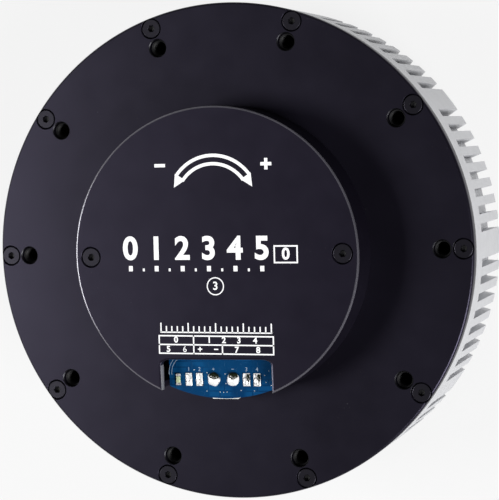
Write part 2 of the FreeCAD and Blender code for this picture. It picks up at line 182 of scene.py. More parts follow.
# Name, place and aim in metres, size in metres and power in watts
LAMPS = (
    ("key", (-0.83, -0.06, 0.82), (0, 0, 0.03), 0.44, 11.5),
    ("side", (0.83, -0.58, 0.80), (0.03, 0, 0.02), 0.6, 21.0),
    ("soft", (0.30, 0.95, 0.95), (0, 0, 0.03), 0.8, 0.8),
)
WORLD_LIGHT = 0.035
FLOOR_HALF = 4.0            # metres
FLOOR_GAP = 0.0002          # metres under the part
FLOOR_GREYS = (0.40, 0.45)
FLOOR_WHITE = 0.85          # share of plain white that the camera and reflections see


# ---------------------------------------------------------------- node materials
class Look:
    """Short hand for building one node material."""

    def __init__(self, name):
        self.material = bpy.data.materials.new(name)
        self.material.use_nodes = True
        self.tree = self.material.node_tree
        self.shader = self.tree.nodes["Principled BSDF"]
        self.coords = self.add("ShaderNodeTexCoord").outputs["Object"]

    def add(self, kind, **settings):
        """New node; each setting is one of its own properties or one of its sockets."""
        node = self.tree.nodes.new(kind)
        for key, value in settings.items():
            if hasattr(node, key):
                setattr(node, key, value)
            else:
                node.inputs[key.replace("_", " ")].default_value = value
        return node

    def link(self, out, into):
        self.tree.links.new(out, into)

    def scaled(self, scale):
        mapping = self.add("ShaderNodeMapping", Scale=scale)
        self.link(self.coords, mapping.inputs["Vector"])
        return mapping.outputs["Vector"]

    def noise(self, scale, detail=3.0, stretch=(1, 1, 1), rough=0.5):
        node = self.add("ShaderNodeTexNoise", Scale=scale, Detail=detail, Roughness=rough)
        self.link(self.scaled(stretch), node.inputs["Vector"])
        return node.outputs["Fac"]

    def ramp(self, factor, low, high):
        """Colour that goes from one (place, colour) to another."""
        node = self.add("ShaderNodeValToRGB")
        for element, (place_at, colour) in zip(node.color_ramp.elements, (low, high)):
            element.position = place_at
            element.color = (*colour, 1.0)
        self.link(factor, node.inputs["Fac"])
        return node.outputs["Color"]

    def gate(self, factor, low, high):
        """Black below one level and white above another."""
        return self.ramp(factor, (low, (0, 0, 0)), (high, (1, 1, 1)))

    def mix(self, factor, first, second):
        """From one colour to another, which is a plain colour."""
        node = self.add("ShaderNodeMix", data_type="RGBA")
        self.link(factor, node.inputs[0])
        self.link(first, node.inputs[6])
        node.inputs[7].default_value = (*second, 1.0)
        return node.outputs[2]

    def math(self, operation, *values):
        node = self.add("ShaderNodeMath", operation=operation)
        for value, socket in zip(values, node.inputs):
            if isinstance(value, (int, float)):
                socket.default_value = value
            else:
                self.link(value, socket)
        return node.outputs[0]

    def waves(self, pitch):
        """Rings about the Z axis, with their pitch in metres."""
        radius = self.add("ShaderNodeVectorMath", operation="LENGTH")
        self.link(self.scaled((1, 1, 0)), radius.inputs[0])
        return self.math("SINE", self.math("MULTIPLY", radius.outputs["Value"], 2 * math.pi / pitch))

    def level(self, factor, low, high):
        node = self.add("ShaderNodeMapRange", To_Min=low, To_Max=high)
        self.link(factor, node.inputs["Value"])
        return node.outputs["Result"]

    def paint(self, colour):
        self.link(colour, self.shader.inputs["Base Color"])

    def roughen(self, factor, low, high):
        self.link(self.level(factor, low, high), self.shader.inputs["Roughness"])

    def bump(self, height, distance, strength):
        node = self.add("ShaderNodeBump", Strength=strength, Distance=distance)
        self.link(height, node.inputs["Height"])
        self.link(node.outputs["Normal"], self.shader.inputs["Normal"])

    def finish(self, **sockets):
        for key, value in sockets.items():
            self.shader.inputs[key.replace("_", " ")].default_value = value
        return self.material


def darker(colour, share):
    return tuple(c * share for c in colour)


def anodised_black(name, dark, light, rough=(0.29, 0.37), dust=True, tint=(0.74, 0.68, 1.0), gloss=0.32):
    """Black anodising that shines slightly violet, with pale specks of dust in patches."""
    look = Look(name)
    colour = look.ramp(look.noise(38, 4), (0.3, dark), (0.7, light))
    if dust:
        specks = look.gate(look.noise(2600, 2, rough=0.6), 0.735, 0.77)
        patches = look.gate(look.noise(55, 3), 0.5, 0.68)
        amount = look.math("MULTIPLY", look.math("MULTIPLY", specks, patches), 0.4)
        colour = look.mix(amount, colour, (0.22, 0.21, 0.23))
    look.paint(colour)
    look.roughen(look.noise(160, 5), *rough)
    look.bump(look.noise(5200, 2), 0.00001, 0.35)
    return look.finish(Specular_Tint=(*tint, 1), Specular_IOR_Level=gloss)


def blasted_alloy(name, base):
    """Bead-blasted and clear anodised alloy."""
    look = Look(name)
    look.paint(look.ramp(look.noise(420, 4), (0.3, darker(base, 0.94)), (0.7, base)))
    look.roughen(look.noise(300, 4), 0.42, 0.56)
    look.bump(look.noise(3600, 3), 0.00004, 0.5)
    return look.finish(Metallic=0.55)


def turned_metal(name, base, pitch=0.0005):
    """Metal faced on a lathe: fine rings about Z in its colour and bump."""
    look = Look(name)
    uneven = look.math("MULTIPLY", look.waves(pitch), look.level(look.noise(90, 2), 0.2, 1.0))
    look.paint(look.ramp(uneven, (0.1, darker(base, 0.86)), (0.9, base)))
    look.roughen(look.noise(260, 4), 0.22, 0.36)
    look.bump(uneven, 0.000015, 0.6)
    return look.finish(Metallic=1.0)


def ground_metal(name, base, rough=(0.25, 0.42), metallic=1.0):
    """Metal with fine grinding marks."""
    look = Look(name)
    look.paint(look.ramp(look.noise(120, 4), (0.3, darker(base, 0.88)), (0.7, base)))
    look.roughen(look.noise(900, 3, (1, 1, 12)), *rough)
    look.bump(look.noise(2700, 2, (1, 1, 10)), 0.000004, 0.3)
    return look.finish(Metallic=metallic)


def laminated(name, base):
    """Stack of thin sheets along Z."""
    look = Look(name)
    sheets = look.add("ShaderNodeTexWave", bands_direction="Z", Scale=1.0, Distortion=0.3)
    look.link(look.scaled((900, 900, 900)), sheets.inputs["Vector"])
    look.paint(look.ramp(sheets.outputs["Fac"], (0.2, darker(base, 0.6)), (0.8, base)))
    look.roughen(look.noise(200, 4), 0.4, 0.6)
    look.bump(sheets.outputs["Fac"], 0.00004, 0.5)
    return look.finish(Metallic=0.7)


def wound(name, base):
    """Enamelled wire laid round a tooth: each turn at its own distance from the axis."""
    look = Look(name)
    turns = look.waves(0.0008)
    # The colour is darker between the turns: painted shade in the grooves between the wires.
    look.paint(look.ramp(turns, (0.0, darker(base, 0.35)), (0.5, base)))
    look.roughen(look.noise(250, 3), 0.22, 0.38)
    look.bump(turns, 0.0001, 0.6)
    return look.finish(Metallic=0.8)


def moulded(name, base, rough=(0.42, 0.58)):
    """Plain plastic or rubber with a fine grain."""
    look = Look(name)
    look.paint(look.ramp(look.noise(90, 4), (0.3, darker(base, 0.85)), (0.7, base)))
    look.roughen(look.noise(320, 3), *rough)
    look.bump(look.noise(1800, 3), 0.00003, 0.4)
    return look.finish()


def solder(name, base, edges, metallic, scale=1400):
    """Uneven tin with spots of flux; edges are the levels between flux and tin."""
    look = Look(name)
    look.paint(look.ramp(look.noise(scale, 3), (edges[0], (0.05, 0.045, 0.03)), (edges[1], base)))
    look.roughen(look.noise(700, 3), 0.3, 0.45)
    look.bump(look.noise(1100, 3), 0.00012, 0.7)
    return look.finish(Metallic=metallic)


def board_mask(name):
    """Blue solder mask with lighter areas of copper under it."""
    look = Look(name)
    mask = look.ramp(look.noise(90, 3), (0.3, (0.0008, 0.021, 0.075)), (0.7, (0.0012, 0.034, 0.105)))
    bricks = look.add("ShaderNodeTexBrick", offset=0.3, squash=1.0, Scale=1.0, Mortar_Size=0.12,
                      Brick_Width=2.6, Row_Height=0.9)
    look.link(look.scaled((620, 620, 620)), bricks.inputs["Vector"])
    copper = look.math("SUBTRACT", 1.0, bricks.outputs["Fac"])
    patches = look.gate(look.noise(160, 2), 0.45, 0.55)
    amount = look.math("MULTIPLY", look.math("MULTIPLY", copper, patches), 0.35)
    look.paint(look.mix(amount, mask, (0.004, 0.075, 0.21)))
    look.roughen(look.noise(500, 3), 0.22, 0.4)
    look.bump(copper, 0.00002, 0.4)
    return look.finish(Specular_Tint=(0.3, 0.7, 1.0, 1.0), Specular_IOR_Level=0.16)


def ink(name, base):
    """Screen print, slightly worn."""
    look = Look(name)
    look.paint(look.ramp(look.noise(1500, 3), (0.35, darker(base, 0.9)), (0.6, base)))
    look.roughen(look.noise(900, 2), 0.5, 0.65)
    look.bump(look.noise(4000, 2), 0.000005, 0.3)
    return look.finish()


LOOKS = {
    "plate": anodised_black("plate_anodising", (0.0038, 0.0033, 0.0056), (0.0052, 0.0046, 0.0078)),
    "cap": anodised_black("cap_anodising", (0.0042, 0.0034, 0.0066), (0.0058, 0.0048, 0.0092)),
    "screw": anodised_black("screw_black_oxide", (0.0040, 0.0037, 0.0052), (0.0060, 0.0056, 0.0075),
                            (0.30, 0.38), False, (0.78, 0.74, 0.94)),
    # Near-black: the plate's own black in the lining of its tapped holes, and painted shade on the screw
    # socket floors.
    "hole": moulded("hole_black_and_painted_shade", (0.004, 0.004, 0.005), (0.5, 0.7)),
    "housing": blasted_alloy("housing_alloy", (0.64, 0.645, 0.665)),
    "output": turned_metal("output_alloy", (0.62, 0.63, 0.65)),
    "gear": ground_metal("gear_steel", (0.42, 0.42, 0.44)),
    "rotor": turned_metal("rotor_steel", (0.34, 0.35, 0.37), 0.0004),
    "bearing": ground_metal("bearing_steel", (0.58, 0.58, 0.60), (0.12, 0.22)),
    "magnet": ground_metal("magnet_nickel", (0.52, 0.51, 0.49), (0.15, 0.3)),
    "stator": laminated("stator_laminations", (0.16, 0.17, 0.19)),
    "copper": wound("winding_copper", (0.55, 0.21, 0.06)),
    "board": board_mask("board_mask"),
    "pad": solder("pad_tin", (0.78, 0.78, 0.77), (0.34, 0.46), 0.45, 2400),
    "solder": solder("solder_white", (0.88, 0.88, 0.87), (0.26, 0.34), 0.35),
    # Dark, glossy drops on the upper right of the power pins and of the soldered pads.
    "flux": moulded("dark_drops", (0.012, 0.016, 0.008), (0.12, 0.25)),
    "wire_end": ground_metal("wire_end", (0.20, 0.20, 0.19), (0.3, 0.5)),
    # Alloy far darker than the output it is cut in: painted shade in the deep holes.
    "tapped": ground_metal("tapped_alloy_painted_shade", (0.14, 0.14, 0.15), (0.45, 0.6)),
    "chip": moulded("chip_epoxy", (0.018, 0.018, 0.021)),
    "nylon": moulded("connector_nylon", (0.72, 0.72, 0.68)),
    "pin": ground_metal("pin_brass", (0.62, 0.45, 0.20), (0.2, 0.35)),
    "lens": moulded("led_lens", (0.52, 0.60, 0.36), (0.15, 0.3)),
    "ink": ink("white_print", (0.87, 0.87, 0.88)),
    "silk": ink("board_print", (0.26, 0.33, 0.42)),
    # Lighter, glossier black on the lid's rounded edge: a painted highlight along the rim.
    "rim": anodised_black("cap_rim_highlight", (0.050, 0.048, 0.058), (0.070, 0.067, 0.080), (0.20, 0.26), False,
                          (0.92, 0.90, 1.0), 0.9),
    # Lighter grey metal on the window's sides: bare milled metal, lightened further as a painted highlight
    # of the lit wall.
    "milled": ground_metal("milled_edge_highlight", (0.30, 0.30, 0.32), (0.3, 0.45), 0.4),
    "hole_edge": ground_metal("hole_mouth", (0.045, 0.045, 0.05), (0.3, 0.45)),
    "seal": moulded("seal_rubber", (0.014, 0.014, 0.015), (0.5, 0.7)),
}

NODE_LOOKS = {
    "housing": "housing", "rear_plate": "plate", "cover_screws": "screw", "driver_cap": "cap",
    "cap_screws": "screw", "circuit_board": "board", "signal_pads": "pad", "power_terminals": "pad",
    "status_led": "lens", "power_connector": "nylon", "signal_connectors": "nylon", "transistors": "chip",
    "controller_chip": "chip", "capacitors": "chip", "encoder_chip": "chip", "stator_core": "stator",
    "stator_coils": "copper", "ring_gear": "gear", "output_bearing": "bearing", "rotor_bearing": "bearing",
    "rotor_cup": "rotor", "rotor_magnets": "magnet", "sun_shaft": "gear", "encoder_magnet": "magnet",
    "output_carrier": "output", "carrier_plate": "output", "planet_pins": "bearing",
    "planet_gear_1": "gear", "planet_gear_2": "gear", "planet_gear_3": "gear",
}


def dress_nodes():
    for node, look in NODE_LOOKS.items():
        materials = frame["nodes"][node].data.materials
        materials.clear()
        materials.append(LOOKS[look])


# ---------------------------------------------------------------- geometry helpers, in millimetres
def place(mesh, name, look, body, smooth=30, trims=()):
    """New piece from a mesh in millimetres, riding on a body.

    trims holds further looks, each with a test that picks the faces it goes on.
    """
    mesh.materials.clear()
    for each in (look, *[trim for trim, test in trims]):
        mesh.materials.append(LOOKS[each])
    for polygon in mesh.polygons:
        polygon.use_smooth = True
        polygon.material_index = 0
        for k, (trim, test) in enumerate(trims):
            if test(polygon):
                polygon.material_index = k + 1
    mesh.transform(Matrix.Scale(MM, 4))
    mesh.set_sharp_from_angle(angle=math.radians(smooth))
    crease_flats(mesh)
    piece = bpy.data.objects.new(name, mesh)
    bpy.context.scene.collection.objects.link(piece)
    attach(piece, body)
    return piece


def crease_flats(mesh):
    """Sharp edges wherever a level face meets one that isn't, so that rounded edges don't shade it."""
    b = bmesh.new()
    b.from_mesh(mesh)
    for edge in b.edges:
        level = [abs(face.normal.z) > 0.9995 for face in edge.link_faces]
        if any(level) and not all(level):
            edge.smooth = False
    b.to_mesh(mesh)
    b.free()


def arm(face):
    """Distance from the Z axis to the middle of a face."""
    return math.hypot(face.center.x, face.center.y)


def mesh_from(b, name):
    """New mesh with the faces of a bmesh, which is freed."""
    mesh = bpy.data.meshes.new(name)
    b.to_mesh(mesh)
    b.free()
    return mesh


def mesh_from_curve(curve):
    """New mesh of a curve or text, which is removed."""
    holder = bpy.data.objects.new(curve.name, curve)
    bpy.context.scene.collection.objects.link(holder)
    graph = bpy.context.evaluated_depsgraph_get()
    mesh = bpy.data.meshes.new_from_object(holder.evaluated_get(graph))
    bpy.data.objects.remove(holder)
    bpy.data.curves.remove(curve)
    return mesh


def weld(mesh):
    b = bmesh.new()
    b.from_mesh(mesh)
    bmesh.ops.remove_doubles(b, verts=b.verts, dist=WELD)
    bmesh.ops.recalc_face_normals(b, faces=b.faces)
    b.to_mesh(mesh)
    b.free()


def slab(outline, z0, z1, edge=0.0, rounds=0):
    """Mesh of a flat plate from z0 to z1.

    With an edge, the outline is drawn inside the true one by that much, and the bevel ends at its size.
    """
    curve = bpy.data.curves.new("slab", "CURVE")
    curve.dimensions = "2D"
    curve.fill_mode = "BOTH"
    spline = curve.splines.new("POLY")
    spline.points.add(len(outline) - 1)
    for point, (x, y) in zip(spline.points, outline):
        point.co = (x, y, 0, 1)
    spline.use_cyclic_u = True
    curve.extrude = (z1 - z0) / 2 - edge
    curve.bevel_depth = edge
    curve.bevel_resolution = rounds
    mesh = mesh_from_curve(curve)
    mesh.transform(Matrix.Translation((0, 0, (z0 + z1) / 2)))
    weld(mesh)
    return mesh


def bridge(b, low, high):
    """Ring of faces between two rows of points."""
    for k in range(len(low)):
        after = (k + 1) % len(low)
        b.faces.new((low[k], low[after], high[after], high[k]))


def lathe(profile, count=64, x=0.0, y=0.0, closed=True):
    """Mesh of (radius, height) points turned about an axis along Z through (x, y).

    A closed profile makes a ring; any other gets a flat face at each end.
    """
    b = bmesh.new()
    rings = []
    for k in range(count):
        a = 2 * math.pi * k / count
        rings.append([b.verts.new((x + r * math.cos(a), y + r * math.sin(a), z)) for r, z in profile])
    size = len(profile)
    last = size if closed else size - 1
    for k in range(count):
        near, far = rings[k], rings[(k + 1) % count]
        for i in range(last):
            j = (i + 1) % size
            b.faces.new((near[i], far[i], far[j], near[j]))
    if not closed:
        for i in (0, size - 1):
            b.faces.new([ring[i] for ring in rings])
    bmesh.ops.recalc_face_normals(b, faces=b.faces)
    return mesh_from(b, "lathe")


def turned(profile, x, y, top, count=48):
    """Solid of (radius, depth under top) points turned about an axis along Z through (x, y)."""
    return lathe([(r, top - depth) for r, depth in profile], count, x, y, closed=False)


def boxed(x0, x1, y0, y1, z0, z1):
    """Box as a bmesh."""
    b = bmesh.new()
    bmesh.ops.create_cube(b, size=1.0)
    for v in b.verts:
        v.co = Vector((
            x0 if v.co.x < 0 else x1,
            y0 if v.co.y < 0 else y1,
            z0 if v.co.z < 0 else z1,
        ))
    return b


def block(x0, x1, y0, y1, z0, z1, edge=0.1, segments=2):
    """Box with rounded edges."""
    b = boxed(x0, x1, y0, y1, z0, z1)
    bmesh.ops.bevel(b, geom=b.edges[:], offset=edge, segments=segments, affect="EDGES", profile=0.5)
    return mesh_from(b, "block")


def joined(meshes):
    """One mesh of several, which are removed."""
    b = bmesh.new()
    for mesh in meshes:
        b.from_mesh(mesh)
        bpy.data.meshes.remove(mesh)
    return mesh_from(b, "joined")


def cut(mesh, cutters):
    """Mesh less a set of cutters that don't touch one another."""
    target = bpy.data.objects.new("target", mesh)
    tool = bpy.data.objects.new("tool", joined(cutters))
    for thing in (target, tool):
        bpy.context.scene.collection.objects.link(thing)
    modifier = target.modifiers.new("cut", "BOOLEAN")
    modifier.operation = "DIFFERENCE"
    modifier.solver = "EXACT"
    modifier.object = tool
    graph = bpy.context.evaluated_depsgraph_get()
    result = bpy.data.meshes.new_from_object(target.evaluated_get(graph))
    for thing in (target, tool):
        bpy.data.objects.remove(thing)
    return result


# ---------------------------------------------------------------- rear plate and its screws
def make_rear_plate():
    """Plate with its hub, rounded edge, screw seats and holes, and the two posts that carry the cap."""
    hub = [(r, Z_PLATE + z) for r, z in HUB]
    back = [(HUB[-1][0], Z_RING), (BODY_R, Z_RING)]
    edge = [(BODY_R - PLATE_EDGE * inward, Z_PLATE - PLATE_EDGE * down) for inward, down in EDGE_SHAPE]
    cutters = []
    for hole, screw in zip(MOUNT_HOLES, PLATE_SCREWS):
        cutters.append(turned(HOLE, *hole, Z_PLATE, 40))
        cutters.append(turned(SEAT, *screw, Z_PLATE))
    plate = cut(lathe(hub + back + edge, 360), cutters)
    post = [(CAP_POST_R, Z_PLATE - CAP_POST_SINK), (CAP_POST_R, Z_CAP - CAP_TOP)]
    posts = [lathe(post, 32, x, y, closed=False) for x, y in CAP_SCREWS]

    def hole_mouth(face):
        """The chamfers of the tapped holes and of the inner side of the screw seats."""
        return 0.3 < face.normal.z < 0.95 and arm(face) < MOUNT_R + 3

    piece = place(joined([plate] + posts), "rear_plate_finish", "plate", "base",
                  trims=(("hole_edge", hole_mouth),))
    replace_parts(piece, "rear_plate")


def socket_tool(x, y, top, turn):
    """Hexagon socket with a small chamfer at its mouth, as a solid turned by an angle in degrees."""
    b = bmesh.new()
    rings = []
    for r, depth in SOCKET:
        corners = [on_circle(r, 60 * k + turn) for k in range(6)]
        rings.append([b.verts.new((x + px, y + py, top - depth)) for px, py in corners])
    for low, high in zip(rings, rings[1:]):
        bridge(b, low, high)
    b.faces.new(rings[0][::-1])
    b.faces.new(rings[-1])
    bmesh.ops.recalc_face_normals(b, faces=b.faces)
    return mesh_from(b, "socket")


def make_screws():
    """Countersunk heads, each with its socket turned by chance, and near-black discs on the socket floors
    that are painted shade.
    """
    floors = []
    for spots, top, name, node in (
        (PLATE_SCREWS, SCREW_TOP, "plate_screw_heads", "cover_screws"),
        (CAP_SCREWS, CAP_SCREW_TOP, "cap_screw_heads", "cap_screws"),
    ):
        heads = joined([turned(HEAD, x, y, top) for x, y in spots])
        tools = [socket_tool(x, y, top, random.uniform(0, 60)) for x, y in spots]
        piece = place(cut(heads, tools), name, "screw", "base")
        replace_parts(piece, node)
        floors += [turned(SOCKET_FLOOR, x, y, top, 24) for x, y in spots]
    # Near-black discs at the bottom of the sockets: painted shade.
    place(joined(floors), "screw_socket_painted_shade", "hole", "base")


def thread_mesh(x, y, mouth, end):
    """Lining of a tapped hole between two heights, with the crests of the thread as rings."""
    way = 1 if end > mouth else -1
    profile = [(THREAD_ROOT_R, mouth)]
    for k in range(int(abs(end - mouth) / THREAD_PITCH) - 1):
        z = mouth + way * (THREAD_LEAD + k * THREAD_PITCH)
        profile.append((THREAD_CREST_R, z + way * THREAD_RISE * THREAD_PITCH))
        profile.append((THREAD_ROOT_R, z + way * THREAD_PITCH))
    profile.append((THREAD_CREST_R, end))
    profile.append((DRILL_TIP[0], end + way * DRILL_TIP[1]))
    b = bmesh.new()
    b.from_mesh(lathe(profile, 32, x, y, closed=False))
    mouth_face = min(b.faces, key=lambda face: abs(face.calc_center_median().z - mouth))
    bmesh.ops.delete(b, geom=[mouth_face], context="FACES_ONLY")
    return mesh_from(b, "thread")


def make_threads():
    rear = [thread_mesh(x, y, *REAR_THREAD) for x, y in MOUNT_HOLES]
    place(joined(rear), "mount_threads", "hole", "base", 20)
    # The output's thread linings are darker than its alloy: painted shade in the holes.
    front = [thread_mesh(x, y, *OUTPUT_THREAD) for x, y in OUTPUT_HOLES]
    place(joined(front), "output_threads", "tapped", "output", 20)


# ---------------------------------------------------------------- cap over the driver
def window_outline(edge):
    """The window's sides and top edge with rounded corners, from left to right, opened out by an edge."""
    low = WINDOW_TOP - CORNER_DROP
    corners = (
        ((WINDOW_RIGHT, low), (WINDOW_RIGHT, WINDOW_TOP), (WINDOW_RIGHT - CORNER_WIDTH, WINDOW_TOP)),
        ((WINDOW_LEFT + CORNER_WIDTH, WINDOW_TOP), (WINDOW_LEFT, WINDOW_TOP), (WINDOW_LEFT, low)),
    )
    middle = (WINDOW_LEFT + WINDOW_RIGHT) / 2
    half = (WINDOW_RIGHT - WINDOW_LEFT) / 2
    outline = []
    for ends in corners:
        for k in range(CORNER_STEPS + 1):
            t = k / CORNER_STEPS
            x, y = ((1 - t) ** 2 * a + 2 * t * (1 - t) * b + t * t * c for a, b, c in zip(*ends))
            outline.append((middle + (x - middle) * (half + edge) / half, y + edge))
    return outline[::-1]


def resized(outline, share):
    return [(x * share, y * share) for x, y in outline]


def make_cap():
    """Lid with a rounded edge and the window in it, over a wall that is open at the window."""
    r = CAP_R - CAP_EDGE
    left, right = WINDOW_LEFT - CAP_EDGE, WINDOW_RIGHT + CAP_EDGE
    start = math.atan2(-math.sqrt(r * r - right * right), right)
    end = math.atan2(-math.sqrt(r * r - left * left), left) + 2 * math.pi
    angles = [start + (end - start) * k / CAP_STEPS for k in range(CAP_STEPS + 1)]
    rim = [(r * math.cos(a), r * math.sin(a)) for a in angles]
    lid = slab(rim + window_outline(CAP_EDGE), Z_CAP - CAP_TOP, Z_CAP - PRINT, CAP_EDGE, 2)
    lid = cut(lid, [turned(SEAT, x, y, Z_CAP - PRINT) for x, y in CAP_SCREWS])
    outer = resized(rim, CAP_R / r)
    inner = resized(rim, (CAP_R - CAP_WALL) / r)
    wall = slab(outer + inner[::-1], Z_PLATE, Z_CAP - CAP_TOP + CAP_LAP)

    def rounded(face):
        """The smoother rounded edge of the lid, in a lighter black that paints a highlight along the rim.
        """
        return 0.02 < face.normal.z < 0.98 and arm(face) > r - 0.1

    def milled(face):
        """The sides of the window, in lighter grey metal: bare milled metal, lightened further as a painted
        highlight on the lit wall.
        """
        x, y, z = face.center
        beside_window = WINDOW_LEFT - 1 < x < WINDOW_RIGHT + 1 and y < WINDOW_TOP - CORNER_DROP - 0.2
        sideways = face.normal.x > 0.95 or face.normal.x < -0.5
        return beside_window and sideways and z > Z_CAP - CAP_TOP and arm(face) < r - 0.1

    piece = place(joined([lid, wall]), "driver_cap_finish", "cap", "base", 25,
                  (("rim", rounded), ("milled", milled)))
    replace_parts(piece, "driver_cap")


# ---------------------------------------------------------------- white print on the cap
def bar(x0, x1, y0, y1):
    """Printed rectangle on the cap."""
    return mesh_from(boxed(x0, x1, y0, y1, Z_CAP - 2 * PRINT, Z_CAP), "bar")


def upright(x, width, y0, y1):
    return bar(x - width / 2, x + width / 2, y0, y1)


def level_line(y, width, x0, x1):
    return bar(x0, x1, y - width / 2, y + width / 2)


def frame_bars(x0, x1, y0, y1, width):
    """Printed frame, with its outer sides given."""
    return [bar(x0, x1, y0, y0 + width), bar(x0, x1, y1 - width, y1),
            bar(x0, x0 + width, y0 + width, y1 - width), bar(x1 - width, x1, y0 + width, y1 - width)]


def arc_print(x, y, r, width, start, end, z, steps):
    """Printed arc from one angle to another in degrees, with its top at z."""
    outline = []
    for radius, order in ((r + width / 2, range(steps + 1)), (r - width / 2, range(steps, -1, -1))):
        for k in order:
            px, py = on_circle(radius, start + (end - start) * k / steps)
            outline.append((x + px, y + py))
    return slab(outline, z - 2 * PRINT, z)


def figure(text, x, y, height, z, weight=0.0):
    """Printed figure or sign centred on (x, y), with its top at z.

    6 and 9 go without the extra weight, which spoils their outlines.
    """
    curve = bpy.data.curves.new("figure", "FONT")
    curve.body = text
    curve.size = height / FIGURE_SHARE
    curve.align_x = "CENTER"
    curve.align_y = "CENTER"
    curve.extrude = PRINT
    curve.offset = 0.0 if text in "69" else weight
    mesh = mesh_from_curve(curve)
    mesh.transform(Matrix.Translation((x, y, z - PRINT)))
    return mesh


def arrow_head(x, y, size, turn):
    a = math.radians(turn)
    points = ((size, 0), (-size * 0.5, size * 0.75), (-size * 0.5, -size * 0.75))
    outline = [(x + px * math.cos(a) - py * math.sin(a), y + px * math.sin(a) + py * math.cos(a))
               for px, py in points]
    top = Z_CAP - HEAD_DROP
    return slab(outline, top - 2 * PRINT, top)


def print_table():
    """Ruled table over the window with figures and signs."""
    left, right, low, middle, high = -14.7, 14.6, -23.9, -21.6, -19.3
    first_split, lower_split = -5.7, 1.6
    line = 0.32
    parts = frame_bars(left, right, low, high, line)
    parts.append(level_line(middle, line, left, right))
    parts.append(upright(first_split, line, low, high))
    parts.append(upright(lower_split, line, low, middle))
    rows = (
        ((high + middle) / 2, (("0", -10.2), ("1", -1.7), ("2", 2.0), ("3", 5.8), ("4", 9.9))),
        ((low + middle) / 2, (("5", -12.2), ("6", -8.0), ("+", -4.1), (MINUS, 0.0), ("7", 5.2),
                              ("8", 10.6))),
    )
    for y, figures in rows:
        parts += [figure(text, x, y, 1.5, Z_CAP, 0.06) for text, x in figures]
    return parts


def print_scale():
    """Ruled scale with every fifth mark taller."""
    left, right, base = -14.0, 14.0, -18.6
    steps = 20
    parts = [level_line(base, 0.3, left - 0.2, right + 0.2)]
    for k in range(steps + 1):
        tall = 2.3 if k % 5 == 0 else 1.5
        parts.append(upright(left + (right - left) * k / steps, 0.32, base, base + tall))
    return parts


def print_badges():
    """A figure in a ring and one in a frame."""
    x, y, r, line = 0.2, -7.4, 2.05, 0.26
    ringed = [arc_print(x, y, r, line, 0, 360, Z_CAP, 64), figure("3", x, y, 2.0, Z_CAP, 0.05)]
    left, right, low, high, line = 15.0, 21.0, -1.9, 2.4, 0.36
    framed = frame_bars(left, right, low, high, line)
    framed.append(figure("0", (left + right) / 2, (low + high) / 2, 2.8, Z_CAP, 0.12))
    return ringed + framed


def print_turn_sign():
    """Double arc with a head at each end, between a minus and a plus."""
    x, y = 0.2, 12.6
    r, gap, line = 10.4, 2.0, 0.8
    half_arc, half_heads = 55, 58      # degrees to each side of the top
    sign_x, sign_y = 13.4, 21.5
    parts = [arc_print(x, y, each, line, 90 - half_arc, 90 + half_arc, Z_CAP, 48)
             for each in (r - gap / 2, r + gap / 2)]
    for side, sign in ((-1, "+"), (1, MINUS)):
        angle = 90 + side * half_heads
        head_x, head_y = on_circle(r, angle)
        parts.append(arrow_head(x + head_x, y + head_y, 2.0, angle + side * 90))
        parts.append(figure(sign, x - side * sign_x, sign_y, 3.6, Z_CAP, 0.2))
    return parts


def print_figures():
    """Row of large figures with index marks under and between them."""
    left, pitch, last = -21.4, 6.7, 5
    middle, foot = 1.5, -3.8
    parts = []
    for k in range(last + 1):
        x = left + pitch * k
        parts.append(figure(str(k), x, middle, 5.6, Z_CAP, 0.24))
        parts.append(upright(x, 1.0, foot, foot + 1.3))
        if k < last:
            parts.append(upright(x + pitch / 2, 0.5, foot, foot + 0.7))
    return parts


def make_print():
    mesh = joined(print_table() + print_scale() + print_badges() + print_turn_sign() + print_figures())
    mesh.transform(Matrix.Rotation(math.radians(PRINT_TURN), 4, "Z"))
    place(mesh, "cap_print", "ink", "base")


# ---------------------------------------------------------------- circuit board seen in the window
def drop(x, y, rx, ry, z, height, seed):
    """Uneven drop of solder or flux on a surface at z."""
    chance = random.Random(seed)
    waves = [(chance.uniform(0.02, 0.07), chance.randint(2, 5), chance.uniform(0, 6.28)) for _ in range(3)]
    count = 28
    b = bmesh.new()
    rings = []
    for reach in (1.0, 0.75, 0.5, 0.3, 0.14, 0.04, 0.0):
        row = []
        for k in range(count):
            a = 2 * math.pi * k / count
            uneven = reach * (1 + sum(size * math.sin(n * a + phase) for size, n, phase in waves))
            row.append(b.verts.new((x + rx * uneven * math.cos(a), y + ry * uneven * math.sin(a),
                                    z + height * math.sqrt(1 - reach * reach))))
        rings.append(row)
    for low, high in zip(rings, rings[1:]):
        bridge(b, low, high)
    b.faces.new(rings[0][::-1])
    bmesh.ops.remove_doubles(b, verts=b.verts, dist=WELD)
    bmesh.ops.recalc_face_normals(b, faces=b.faces)
    return mesh_from(b, "drop")


def make_solder():
    """Tin on the two power pins."""
    reach = TERMINAL_R * 0.95
    blobs = [drop(x, TERMINAL_Y, reach, reach, Z_BOARD, 0.9, 3 + k) for k, x in enumerate(TERMINAL_X)]
    piece = place(joined(blobs), "power_solder", "solder", "base", 60)
    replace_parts(piece, "power_terminals")


def make_flux():
    """Dark drops on the upper half of both power pins and along the right side of the soldered pads."""
    drops = [drop(x + 0.15, TERMINAL_Y + 0.8, 1.2, 1.05, Z_BOARD + 0.3, 0.78, 9 + k)
             for k, x in enumerate(TERMINAL_X)]
    pad_top = span("signal_pads")[1][2]
    soldered = [(x, width) for x, width, fill in SIGNAL_PADS if fill is SOLDERED]
    for k, (x, width) in enumerate(soldered):
        across = 0.24 * width
        drops.append(drop(x + across, TERMINAL_Y + 0.45, across, 1.0, pad_top - 0.02, 0.5, 14 + k))
    place(joined(drops), "solder_dark_drops", "flux", "base", 60)


